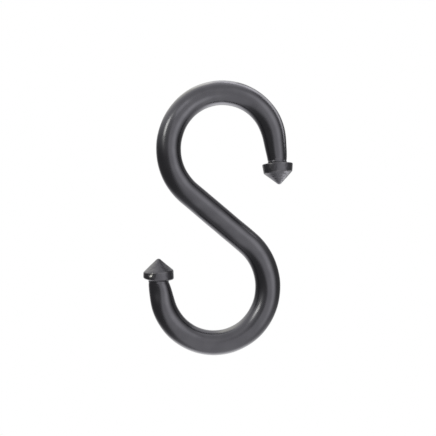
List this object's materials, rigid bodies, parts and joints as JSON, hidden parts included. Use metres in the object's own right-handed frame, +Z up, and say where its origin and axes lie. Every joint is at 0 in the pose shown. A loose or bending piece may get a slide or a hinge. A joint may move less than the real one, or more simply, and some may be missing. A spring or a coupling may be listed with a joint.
{
  "type": "s hook",
  "caption": "S-shaped hanging hook of round bar, its open loops facing opposite ways, each arm thinned to a neck under a pointed cap, satin dark grey.",
  "frame": {"origin": "rail seat: the highest point inside the upper loop, in the middle of the bar's thickness", "axes": "+Z up as the hook hangs; +X towards the upper arm; +Y through the loops, away from a viewer who sees an S"},
  "size_m": [0.0495, 0.0102, 0.0902],
  "materials": {
    "dark_finish": "satin, dark charcoal"
  },
  "bodies": {
    "root": {"hook": "dark_finish"}
  },
  "joints": []
}
